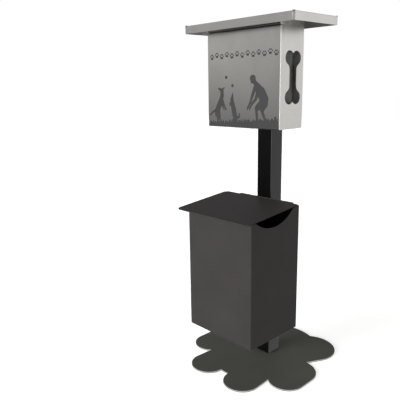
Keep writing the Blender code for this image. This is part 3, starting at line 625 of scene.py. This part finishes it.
# ---- the dispenser -------------------------------------------------------------------------------------
def bone_outline():
    """A bone standing on end, in Y and Z about its middle: four round lobes that flow into a shaft."""
    radius = BONE_LOBE_RADIUS
    lobe_y, lobe_z = BONE_LOBE
    drop = sqrt(radius ** 2 + 2 * radius * BONE_FILLET)
    start = acos(-lobe_y / radius)
    end = atan2(-drop, BONE_FILLET)
    quarter = []
    lobe_steps = 40
    for i in range(lobe_steps + 1):
        angle = start + (end - start) * i / lobe_steps
        quarter.append((lobe_y + radius * cos(angle), lobe_z + radius * sin(angle)))
    fillet_steps = 14
    for i in range(1, fillet_steps + 1):
        angle = end + pi + (pi - (end + pi)) * i / fillet_steps
        quarter.append((
            lobe_y + BONE_FILLET + BONE_FILLET * cos(angle),
            lobe_z - drop + BONE_FILLET * sin(angle),
        ))
    right = quarter + [(y, -z) for y, z in reversed(quarter)]
    left = [(-y, z) for y, z in reversed(right)]
    return right[:-1] + left[:-1]


def make_dispenser_body(finishes):
    """Folded sheet box, open to the front inside a turned-in rim, with a header above the door."""
    low, high = map(Vector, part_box("dispenser_body"))
    front_y = low.y
    low.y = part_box("front_panel")[1][1] + GAP
    door_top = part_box("front_panel")[1][2]
    rim = (low.x + SHEET - 0.0001, high.x - SHEET + 0.0001, low.z + SHEET - 0.0001, high.z - SHEET + 0.0001)
    mouth = (low.x + RIM_FLANGE, high.x - RIM_FLANGE, low.z + RIM_FLANGE, door_top - RIM_FLANGE)
    body = pan("dispenser_body_looks", (low.x, high.x, low.z, high.z), low.y, high.y, "Y")
    bone_y, bone_z = BONE_CENTRE
    outline = bone_outline()
    bone = loft("bone", [
        [(x, bone_y + y, bone_z + z) for y, z in outline] for x in (high.x - 0.01, high.x + 0.01)
    ])
    cut(body, bone, bolt_hole("dispenser_bolt_lower"), bolt_hole("dispenser_bolt_upper"))
    for number in (1, 2, 3, 4):
        rivet_low, rivet_high = map(Vector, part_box(f"roof_rivet_{number}"))
        middle = (rivet_low + rivet_high) / 2
        cut(body, rod("hole", (middle.x, middle.y, high.z), RIVET_HOLE_RADIUS, -0.01, 0.01, "Z", 32))
    lock_low, lock_high = map(Vector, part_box("lock_housing"))
    lock = (lock_low + lock_high) / 2
    cut(body, rod("hole", (lock.x, lock.y, low.z), LOCK_HOLE_RADIUS, -0.01, 0.01, "Z", 48))
    finish(body, "stand", (finishes["stainless"], finishes["mill_finish"]), "stainless", "dispenser_body")
    skin = SHEET / 2
    for face in body.data.polygons:
        x, y, z = face.center
        inner = low.x + skin < x < high.x - skin and low.z + skin < z < high.z - skin and y < high.y - skin
        face.material_index = 1 if inner else 0
    soften(shade(body), 0.0003)

    def frame_ring(rectangle, y):
        return [(x, y, z) for x, z in rounded_rectangle(*rectangle, [0.0008] * 4, steps=3)]

    flange = loft("dispenser_rim_looks", [
        frame_ring(rim, low.y), frame_ring(rim, low.y + SHEET),
        frame_ring(mouth, low.y + SHEET), frame_ring(mouth, low.y),
    ], closed=True)
    finish(soften(flange, 0.0003), "stand", finishes["stainless"], "stainless")
    outline = (low.x, high.x, door_top + HEADER_GAP, high.z)
    header = pan("dispenser_header_looks", outline, low.y + 0.0002, front_y, "Y", bend=DOOR_BEND)
    return finish(soften(shade(header), 0.0003), "stand", finishes["stainless"], "stainless")


def make_roof(finishes):
    """The roof tray. Its four flanges are folded down and leave an open notch at each corner."""
    low, high = map(Vector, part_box("roof"))
    roof = pan("roof_looks", (low.x, high.x, low.y, high.y), low.z, high.z, "Z")
    for x, side_x in ((low.x, -1), (high.x, 1)):
        for y, side_y in ((low.y, -1), (high.y, 1)):
            inner = (x - side_x * ROOF_NOTCH[0], y - side_y * ROOF_NOTCH[1])
            outer = (x + side_x * 0.01, y + side_y * 0.01)
            corner_low = (min(inner[0], outer[0]), min(inner[1], outer[1]), low.z - 0.01)
            corner_high = (max(inner[0], outer[0]), max(inner[1], outer[1]), low.z + ROOF_NOTCH_HEIGHT)
            cut(roof, block("notch", corner_low, corner_high))
    for number in (1, 2, 3, 4):
        rivet_low, rivet_high = map(Vector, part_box(f"roof_rivet_{number}"))
        middle = (rivet_low + rivet_high) / 2
        cut(roof, rod("hole", (middle.x, middle.y, high.z), RIVET_HOLE_RADIUS, -0.01, 0.01, "Z", 32))
    return finish(soften(shade(roof), 0.0003), "stand", finishes["stainless"], "stainless", "roof")


def make_roof_corners(finishes):
    """Each long flange ends in a doubled strip, and drops of weld close the top of the open corner."""
    low, high = map(Vector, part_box("roof"))
    form = bmesh.new()
    for x, side_x in ((low.x, -1), (high.x, 1)):
        for y, side_y in ((low.y, -1), (high.y, 1)):
            near, far = sorted((x - side_x * ROOF_NOTCH[0], x - side_x * (ROOF_NOTCH[0] + ROOF_TAB)))
            front, back = sorted((y + side_y * TAB_THICKNESS, y - side_y * 0.0001))
            outline = rounded_rectangle(near, far, low.z + 0.0004, high.z - 0.0012, [0.0012] * 4, steps=4)
            add_loft(form, [[(a, place, b) for a, b in outline] for place in (front, back)])
    tabs = piece_from("roof_corner_tabs", form)
    # the doubled strips take the lighter copy of the steel, a painted highlight
    finish(soften(shade(tabs), 0.0002), "stand", finishes["painted_highlight_steel"], "stainless")

    form = bmesh.new()
    for x, side_x in ((low.x, -1), (high.x, 1)):
        for y, side_y in ((low.y, -1), (high.y, 1)):
            for number in range(WELD_DROPS):
                share = number / (WELD_DROPS - 1)
                radius = WELD_RADIUS + 0.0005 * noise.noise((number * 1.3, side_x, side_y))
                inward = 0.0014 + ROOF_NOTCH[0] * 0.9 * share
                place = Vector((x - side_x * inward, y - side_y * 0.0016, high.z - 0.0006))
                drop = bmesh.ops.create_icosphere(form, subdivisions=3, radius=radius)
                for vertex in drop["verts"]:
                    ripple = 1 + 0.16 * noise.noise(vertex.co * 900 + place * 100)
                    vertex.co = place + Vector((vertex.co.x * 1.1, vertex.co.y, vertex.co.z * 0.95)) * ripple
    beads = piece_from("roof_corner_welds", form)
    finish(shade(beads, 60), "stand", finishes["zinc"], "stainless")


def make_door(finishes):
    low, high = map(Vector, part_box("front_panel"))
    door = pan("front_panel_looks", (low.x, high.x, low.z, high.z), high.y, low.y, "Y", bend=DOOR_BEND)
    return finish(soften(shade(door), 0.0003), "door", finishes["stainless"], "stainless", "front_panel")


# ---- the door's printed scene --------------------------------------------------------------------------
def stroke(points):
    """A limb: a chain of discs (x, z, radius) with straight sides between neighbours."""
    return [(first, second) for first, second in zip(points, points[1:])]


def to_stroke(x, z, part):
    """Distance from a point to a tapered stroke, below zero inside."""
    (x0, z0, r0), (x1, z1, r1) = part
    along_x, along_z = x1 - x0, z1 - z0
    length = along_x ** 2 + along_z ** 2
    share = 0.0
    if length:
        share = min(1.0, max(0.0, ((x - x0) * along_x + (z - z0) * along_z) / length))
    return hypot(x - x0 - share * along_x, z - z0 - share * along_z) - (r0 + share * (r1 - r0))


def limbs(*chains):
    """The strokes of several chains of discs."""
    return [part for chain in chains for part in stroke(chain)]


def silhouette(parts, cell=0.0010, softness=0.0012):
    """A flat print from strokes that melt together: the zero line of their blended distance, filled."""
    reach = [(x - r, x + r, z - r, z + r) for part in parts for x, z, r in part]
    x0 = min(item[0] for item in reach) - 3 * cell
    x1 = max(item[1] for item in reach) + 3 * cell
    z0 = min(item[2] for item in reach) - 3 * cell
    z1 = max(item[3] for item in reach) + 3 * cell
    columns = int((x1 - x0) / cell) + 1
    rows = int((z1 - z0) / cell) + 1

    def field(x, z):
        nearest = 1.0
        for part in parts:
            distance = to_stroke(x, z, part)
            gap = max(softness - abs(nearest - distance), 0.0) / softness
            nearest = min(nearest, distance) - gap * gap * softness / 4
        return nearest

    values = [[field(x0 + i * cell, z0 + j * cell) for i in range(columns)] for j in range(rows)]
    form = bmesh.new()
    made = {}

    def corner(i, j):
        if (i, j) not in made:
            made[i, j] = form.verts.new((x0 + i * cell, 0, z0 + j * cell))
        return made[i, j]

    def crossing(i, j, k, m):
        key = tuple(sorted(((i, j), (k, m))))
        if key not in made:
            share = values[j][i] / (values[j][i] - values[m][k])
            made[key] = form.verts.new((
                x0 + (i + (k - i) * share) * cell, 0, z0 + (j + (m - j) * share) * cell,
            ))
        return made[key]

    for j in range(rows - 1):
        for i in range(columns - 1):
            around = [(i, j), (i + 1, j), (i + 1, j + 1), (i, j + 1)]
            inside = [values[b][a] < 0 for a, b in around]
            if not any(inside):
                continue
            loop = []
            for number in range(4):
                here, after = around[number], around[(number + 1) % 4]
                if inside[number]:
                    loop.append(corner(*here))
                if inside[number] != inside[(number + 1) % 4]:
                    loop.append(crossing(*here, *after))
            if len(loop) > 2:
                form.faces.new(loop)
    bmesh.ops.dissolve_limit(form, angle_limit=radians(2), verts=form.verts, edges=form.edges)
    return form


def tufts(count, start, end, ground, slope, low, high):
    """A row of grass: pointed blades that lean this way and that along the foot of the door."""
    blades = []
    for i in range(count):
        share = (i + 0.5) / count
        x = start + (end - start) * share
        height = low + (high - low) * min(1.0, max(0.0, 0.5 + 1.4 * noise.noise((i * 0.83, 4.1, 0.0))))
        lean = 0.0060 * noise.noise((i * 1.7, 0.4, 7.0))
        foot = ground + slope * share
        middle = (x + 0.4 * lean, foot + 0.6 * height, 0.0014)
        tip = (x + lean, foot + height, 0.0005)
        blades += stroke([(x, foot, 0.0022), middle, tip])
    return blades


def printed_shapes():
    """Two playing dogs, their balls and a walker who bends down to them, in the door's X and Z."""
    dog_reaching = limbs(
        [(-0.104, 0.884, 0.0105), (-0.092, 0.906, 0.0095), (-0.085, 0.926, 0.0075), (-0.086, 0.940, 0.0070)],
        [(-0.086, 0.941, 0.0072), (-0.096, 0.946, 0.0038), (-0.101, 0.947, 0.0024)],
        [(-0.083, 0.944, 0.0045), (-0.075, 0.950, 0.0018)],
        [(-0.086, 0.914, 0.0060), (-0.078, 0.898, 0.0034), (-0.068, 0.881, 0.0024)],
        [(-0.088, 0.910, 0.0050), (-0.084, 0.893, 0.0030), (-0.076, 0.882, 0.0022)],
        [(-0.108, 0.878, 0.0095), (-0.113, 0.864, 0.0050), (-0.105, 0.856, 0.0036), (-0.106, 0.843, 0.0030)],
        [(-0.102, 0.876, 0.0080), (-0.098, 0.862, 0.0046), (-0.096, 0.843, 0.0032)],
        [(-0.113, 0.878, 0.0050), (-0.128, 0.872, 0.0030), (-0.143, 0.861, 0.0018)],
    )
    dog_upright = limbs(
        [(-0.028, 0.862, 0.0095), (-0.034, 0.884, 0.0095), (-0.040, 0.904, 0.0078), (-0.040, 0.914, 0.0062)],
        [(-0.040, 0.916, 0.0062), (-0.039, 0.924, 0.0036), (-0.0385, 0.932, 0.0016)],
        [(-0.043, 0.918, 0.0036), (-0.047, 0.912, 0.0018)],
        [(-0.041, 0.902, 0.0050), (-0.049, 0.901, 0.0026), (-0.050, 0.893, 0.0020)],
        [(-0.029, 0.862, 0.0080), (-0.032, 0.850, 0.0036), (-0.029, 0.840, 0.0028)],
        [(-0.025, 0.860, 0.0070), (-0.022, 0.850, 0.0034), (-0.023, 0.840, 0.0028)],
        [(-0.022, 0.857, 0.0040), (-0.011, 0.858, 0.0028), (-0.009, 0.870, 0.0016)],
    )
    balls = limbs(
        [(-0.066, 0.982, 0.0052), (-0.066, 0.9821, 0.0052)],
        [(-0.039, 0.956, 0.0050), (-0.039, 0.9561, 0.0050)],
    )
    walker = limbs(
        [(0.046, 0.976, 0.0115), (0.047, 0.971, 0.0105)],
        [(0.051, 0.968, 0.0070), (0.060, 0.958, 0.0080)],
        [(0.064, 0.951, 0.0125), (0.079, 0.934, 0.0170), (0.091, 0.914, 0.0165), (0.090, 0.900, 0.0150)],
        [
            (0.056, 0.950, 0.0070), (0.045, 0.926, 0.0052), (0.038, 0.908, 0.0040),
            (0.027, 0.890, 0.0028), (0.025, 0.883, 0.0022),
        ],
        [
            (0.066, 0.936, 0.0070), (0.058, 0.914, 0.0048), (0.045, 0.902, 0.0038),
            (0.035, 0.889, 0.0026), (0.034, 0.883, 0.0020),
        ],
        [(0.083, 0.902, 0.0125), (0.070, 0.893, 0.0100), (0.063, 0.886, 0.0085)],
        [(0.061, 0.886, 0.0056), (0.063, 0.868, 0.0048), (0.064, 0.851, 0.0038), (0.056, 0.847, 0.0026)],
        [(0.094, 0.902, 0.0120), (0.084, 0.884, 0.0090)],
        [(0.082, 0.882, 0.0058), (0.090, 0.866, 0.0048), (0.097, 0.851, 0.0036), (0.103, 0.847, 0.0024)],
    )
    return {
        "print_dog_reaching": dog_reaching,
        "print_dog_upright": dog_upright,
        "print_balls": balls,
        "print_walker": walker,
    }


def paw_mark(x, z, size):
    """A small paw: one pad and four toes."""
    toes = ((-0.40, 0.10, 0.125), (-0.15, 0.36, 0.130), (0.15, 0.36, 0.130), (0.40, 0.10, 0.125))
    pad = 0.20 * size
    parts = stroke([(x - 0.13 * size, z - pad, pad), (x + 0.13 * size, z - pad, pad)])
    for toe_x, toe_z, radius in toes:
        foot = (x + toe_x * size, z + toe_z * size, radius * size)
        parts += stroke([foot, (foot[0], foot[1] + 0.06 * size, 0.8 * foot[2])])
    return parts


def print_on_door(name, form, finishes, thickness=PRINT_THICKNESS):
    """Turns a flat shape into a thin print that lies on the door's face."""
    face_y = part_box("front_panel")[0][1]
    for vertex in form.verts:
        vertex.co.y = face_y - 0.00002
    result = bmesh.ops.extrude_face_region(form, geom=list(form.faces))
    for item in result["geom"]:
        if isinstance(item, bmesh.types.BMVert):
            item.co.y = face_y - thickness
    return finish(piece_from(name, form), "door", finishes["ink"], "black_plastic")


def make_print(finishes):
    for name, parts in printed_shapes().items():
        print_on_door(name, silhouette(parts), finishes)
    low, high = map(Vector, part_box("front_panel"))
    edge = DOOR_BEND
    thin_end = (low.x + edge + 0.0026, low.z + 0.0058, 0.0026)
    thick_end = (high.x - edge - 0.0113, low.z + 0.0145, 0.0113)
    ground = stroke([thin_end, thick_end])
    right = high.x - edge - 0.0035
    ground += stroke([(right, low.z + edge + 0.0035, 0.0035), (right, low.z + 0.0220, 0.0035)])
    blades = tufts(
        count=120, start=low.x + 0.006, end=high.x - 0.006, ground=low.z + 0.0065, slope=0.0165,
        low=0.004, high=0.014,
    )
    flower = stroke([(0.131, 0.845, 0.0014), (0.134, 0.858, 0.0010)])
    flower += stroke([(0.134, 0.860, 0.0036), (0.136, 0.861, 0.0036)])
    grass = silhouette(ground + blades + flower, 0.0008, 0.0006)
    print_on_door("print_grass", grass, finishes, GRASS_THICKNESS)
    marks = []
    first, last = MARK_ENDS
    for i in range(MARK_COUNT):
        x = first + (last - first) * i / (MARK_COUNT - 1)
        marks += paw_mark(x, MARK_HEIGHT + (MARK_STAGGER if i % 2 else -MARK_STAGGER), MARK_SIZE)
    print_on_door("print_paw_marks", silhouette(marks, 0.0005, 0.0003), finishes)


# ---- the roll of bags ----------------------------------------------------------------------------------
def make_bag_roll(finishes):
    """Wound film: its ends are stepped by the winding, and its outside is slightly slack."""
    low, high = map(Vector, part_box("bag_roll"))
    centre = (low + high) / 2
    outer = (high.x - low.x) / 2
    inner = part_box("roll_core")
    core = (inner[1][0] - inner[0][0]) / 2 + GAP
    rings = []
    sides = 96
    profile = []
    steps = 22
    for i in range(steps + 1):
        radius = core + (outer - 0.001 - core) * i / steps
        uneven = FILM_SLACK * noise.noise((i * 0.9, 0.0, 3.0))
        profile.append((radius, low.z + WINDING_STEP * (i % 2) + uneven))
    heights = 40
    for i in range(heights + 1):
        profile.append((outer - 0.0002, low.z + 0.0012 + (high.z - low.z - 0.0024) * i / heights))
    for i in range(steps, -1, -1):
        radius = core + (outer - 0.001 - core) * i / steps
        uneven = FILM_SLACK * noise.noise((i * 0.7, 2.0, 1.0))
        profile.append((radius, high.z - WINDING_STEP * (i % 2) - uneven))
    for radius, z in profile:
        ring = []
        for k in range(sides):
            angle = tau * k / sides
            slack = FILM_SLACK * noise.noise((3.5 * cos(angle), 3.5 * sin(angle), z * 26.0))
            reach = radius + (slack - 0.0004 if radius > outer - 0.0005 else 0.0)
            ring.append((centre.x + reach * cos(angle), centre.y + reach * sin(angle), z))
        rings.append(ring)
    roll = loft("bag_roll_looks", rings, closed=True)
    return finish(shade(roll, 50), "roll", finishes["bag_film"], "bag_film", "bag_roll")


# ---- finishes for the CAD nodes that stay --------------------------------------------------------------
REPLACED = ("base_plate", "bin_body", "lid", "dispenser_body", "roof", "front_panel", "bag_roll")


def dress_cad_nodes(finishes):
    """Gives each CAD node that stays its slot's finish and softly rounded edges."""
    for entry in frame["record"]["subparts"]:
        node = frame["nodes"][entry["node"]]
        if entry["node"] in REPLACED:
            continue
        for place in node.material_slots:
            place.material = finishes[entry["material_slot"]]
        soften(node, 0.0003, 2, 40)


# ---- light, floor and camera ---------------------------------------------------------------------------
def make_floor():
    """A plain pale floor, lit a little from below like a light table."""
    floor = block("floor", (-FLOOR_SIZE, -FLOOR_SIZE, -0.02), (FLOOR_SIZE, FLOOR_SIZE, 0.0))
    made = Recipe("pale_floor")
    made.set(
        Base_Color=(0.90, 0.90, 0.89, 1.0), Roughness=0.9, Specular_IOR_Level=0.0,
        Emission_Color=(1.0, 1.0, 1.0, 1.0), Emission_Strength=0.56,
    )
    floor.data.materials.append(made.material)
    floor.visible_glossy = False


def make_world():
    """A white studio: its far side is bright, its near left side dim. The camera sees plain white."""
    world = bpy.data.worlds.new("studio")
    bpy.context.scene.world = world
    world.use_nodes = True
    tree = world.node_tree
    tree.nodes.clear()

    def add(kind, settings=None, *inputs):
        node = tree.nodes.new(kind)
        for key, value in (settings or {}).items():
            setattr(node, key, value)
        for socket, value in zip(node.inputs, inputs):
            if isinstance(value, bpy.types.NodeSocket):
                tree.links.new(value, socket)
            else:
                socket.default_value = value
        return node.outputs[0]

    def toward(direction):
        """How far a ray points toward a direction, from -1 to 1."""
        product = add("ShaderNodeVectorMath", {"operation": "DOT_PRODUCT"}, ray, direction)
        return product.node.outputs["Value"]

    def span(value, low, high, to_low, to_high):
        smooth = {"interpolation_type": "SMOOTHSTEP"}
        return add("ShaderNodeMapRange", smooth, value, low, high, to_low, to_high)

    ray = tree.nodes.new("ShaderNodeTexCoord").outputs["Generated"]
    across = toward((0.7071, 0.7071, 0.0))
    height = toward((0.0, 0.0, 1.0))
    wall = span(across, -0.9, 0.9, 0.68, 1.0)
    ceiling = span(height, 0.20, 0.90, 1.0, 0.22)
    upper = add("ShaderNodeMath", {"operation": "MULTIPLY"}, wall, ceiling)
    lower = span(across, -0.55, 0.75, 0.08, 0.84)
    share = span(height, -0.12, 0.15, 0.0, 1.0)
    difference = add("ShaderNodeMath", {"operation": "SUBTRACT"}, upper, lower)
    level = add("ShaderNodeMath", {"operation": "MULTIPLY_ADD"}, difference, share, lower)
    white = (1.0, 1.0, 1.0, 1.0)
    studio = add("ShaderNodeBackground", None, white, level)
    backdrop = add("ShaderNodeBackground", None, white)
    seen = tree.nodes.new("ShaderNodeLightPath").outputs["Is Camera Ray"]
    choice = add("ShaderNodeMixShader", None, seen, studio, backdrop)
    output = tree.nodes.new("ShaderNodeOutputWorld")
    tree.links.new(choice, output.inputs["Surface"])


def make_light(name, direction, strength, spread):
    """A broad, soft light from a direction. It lights matt surfaces and doesn't show in shiny ones."""
    data = bpy.data.lights.new(name, "SUN")
    data.energy = strength
    data.angle = radians(spread)
    light = bpy.data.objects.new(name, data)
    bpy.context.scene.collection.objects.link(light)
    light.rotation_euler = (-Vector(direction)).to_track_quat("-Z", "Y").to_euler()
    light.visible_glossy = False
    return light


def make_strip_light(direction, distance, height, power):
    """A tall strip box that shows only as a highlight along folded edges."""
    data = bpy.data.lights.new("strip", "AREA")
    data.shape = "RECTANGLE"
    data.size = 0.6
    data.size_y = 2.2
    data.energy = power
    light = bpy.data.objects.new("strip", data)
    bpy.context.scene.collection.objects.link(light)
    light.location = (direction[0] * distance, direction[1] * distance, height)
    light.rotation_euler = Vector((-direction[0], -direction[1], 0)).to_track_quat("-Z", "Y").to_euler()
    light.visible_diffuse = False
    light.visible_camera = False
    return light


def make_camera():
    azimuth = radians(CAMERA_AZIMUTH)
    elevation = radians(CAMERA_ELEVATION)
    tilt = radians(CAMERA_TILT)
    back = Vector((sin(azimuth) * cos(elevation), -cos(azimuth) * cos(elevation), sin(elevation)))
    level = Vector((cos(azimuth), sin(azimuth), 0.0))
    upright = back.cross(level)
    right = level * cos(tilt) + upright * sin(tilt)
    up = -level * sin(tilt) + upright * cos(tilt)
    data = bpy.data.cameras.new("camera")
    data.sensor_width = 36.0
    data.lens = CAMERA_LENS
    camera = bpy.data.objects.new("camera", data)
    bpy.context.scene.collection.objects.link(camera)
    turn = Matrix((right, up, back)).transposed().to_4x4()
    camera.matrix_world = Matrix.Translation(CAMERA_PLACE) @ turn
    bpy.context.scene.camera = camera


# ---- the whole scene -----------------------------------------------------------------------------------
finishes = make_finishes()
make_base_plate(finishes)
make_bin_body(finishes)
make_lid(finishes)
make_dispenser_body(finishes)
make_roof(finishes)
make_roof_corners(finishes)
make_door(finishes)
make_print(finishes)
make_bag_roll(finishes)
dress_cad_nodes(finishes)
make_floor()
make_world()
make_light("key", (-0.25, -1.0, 0.12), 6.2, 40)
make_strip_light((0.924, -0.383), 3.2, 1.1, 26)
make_camera()
bpy.context.scene.view_settings.view_transform = "Standard"
